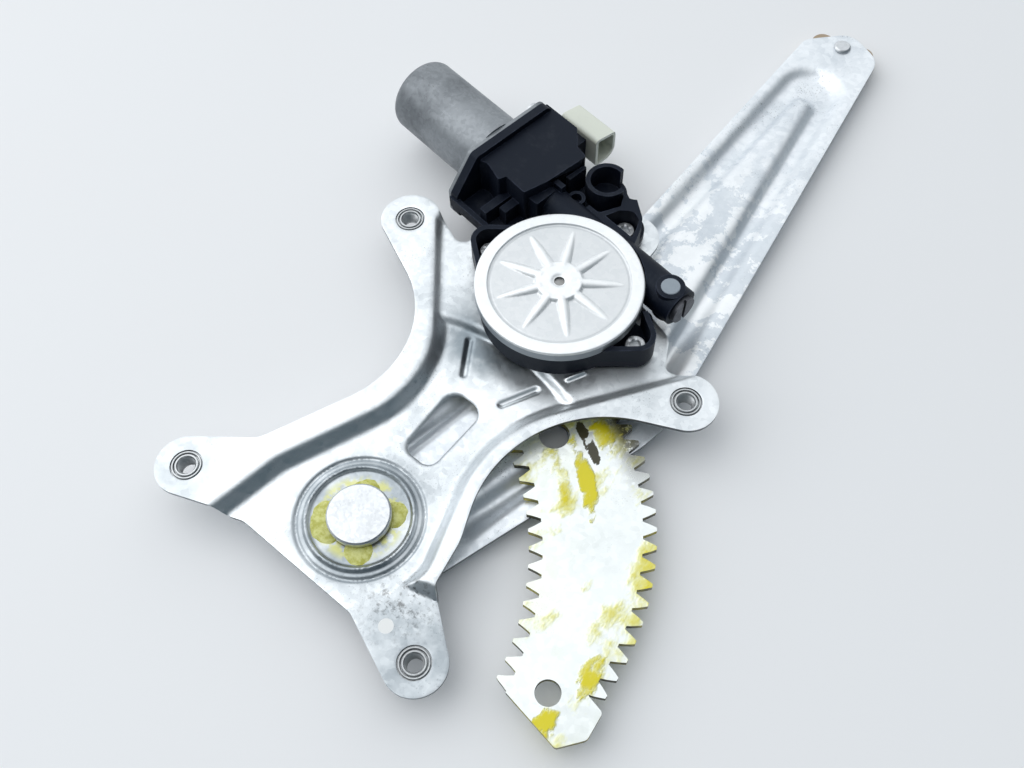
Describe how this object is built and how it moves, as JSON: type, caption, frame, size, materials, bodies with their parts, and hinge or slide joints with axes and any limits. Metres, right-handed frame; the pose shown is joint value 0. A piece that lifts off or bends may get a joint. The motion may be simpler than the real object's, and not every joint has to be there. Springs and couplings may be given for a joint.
{
  "type": "window regulator",
  "caption": "Single-arm power window regulator: pressed plate, geared lift arm with guide shoe, and worm-drive motor with ribbed cover.",
  "frame": {"origin": "pivot axis of the lift arm, at the lower end of the pivot rivet", "axes": "+Y from the pivot to the motor's output shaft and along the lift arm, +Z to the motor side"},
  "size_m": [0.2402, 0.3874, 0.0442],
  "materials": {
    "plate_zinc": "galvanised steel, spangled satin",
    "arm_zinc": "galvanised steel, spangled satin",
    "sector_steel": "galvanised steel, greased",
    "cover_steel": "bright zinc, satin",
    "can_zinc": "dull zinc, blotchy",
    "nut_zinc": "zinc plated",
    "rivet_steel": "cold headed steel",
    "pinion_steel": "hardened steel, greased",
    "shaft_steel": "ground steel",
    "screw_steel": "zinc plated",
    "lamination_steel": "laminated sheet",
    "ferrite": "matt ferrite",
    "bush_bronze": "sintered bronze",
    "commutator_copper": "turned copper",
    "pin_brass": "tinned brass",
    "brush_carbon": "carbon",
    "housing_plastic": "glass-filled plastic, satin",
    "wheel_nylon": "natural acetal",
    "shoe_nylon": "natural nylon",
    "connector_nylon": "natural nylon, satin",
    "plug_plastic": "grey plastic, satin"
  },
  "bodies": {
    "base": {"base_plate": "plate_zinc", "brush_holder": "housing_plastic", "brushes": "brush_carbon", "can_screws": "screw_steel", "clinch_nuts": "nut_zinc", "connector_pins": "pin_brass", "connector_shell": "connector_nylon", "end_screw": "housing_plastic", "gear_cover": "cover_steel", "gear_housing": "housing_plastic", "magnets": "ferrite", "motor_can": "can_zinc", "motor_screws": "screw_steel", "pivot_bush": "bush_bronze", "rear_bearing": "bush_bronze", "shaft_bushes": "bush_bronze", "vent_plug": "plug_plastic"},
    "lift_arm": {"lift_arm": "arm_zinc", "sector_gear": "sector_steel", "sector_rivets": "rivet_steel", "pivot_pin": "rivet_steel", "pivot_washer": "rivet_steel", "tip_pin": "rivet_steel"},
    "guide_shoe": {"guide_shoe": "shoe_nylon"},
    "output": {"output_pinion": "pinion_steel", "worm_wheel": "wheel_nylon"},
    "armature": {"armature_shaft": "shaft_steel", "armature_core": "lamination_steel", "commutator": "commutator_copper"}
  },
  "joints": [
    {"name": "arm_swing", "type": "hinge", "parent": "base", "child": "lift_arm", "pos_m": [0, 0, 0.01], "axis": [0, 0, 1], "range_deg": [-6, 80]},
    {"name": "shoe_swivel", "type": "hinge", "parent": "lift_arm", "child": "guide_shoe", "pos_m": [0.0109, 0.3372, 0.004], "axis": [0, 0, 1], "continuous": true},
    {"name": "pinion_spin", "type": "hinge", "parent": "base", "child": "output", "pos_m": [0, 0.1222, 0.02], "axis": [0, 0, 1], "range_deg": [-850, 65]},
    {"name": "armature_spin", "type": "hinge", "parent": "base", "child": "armature", "pos_m": [0.00429, 0.1527, 0.027], "axis": [0.9903, -0.1392, 0], "continuous": true}
  ],
  "couplings": [
    {"joint": "pinion_spin", "follows": "arm_swing", "ratio": -10.556},
    {"joint": "armature_spin", "follows": "arm_swing", "ratio": -760}
  ]
}
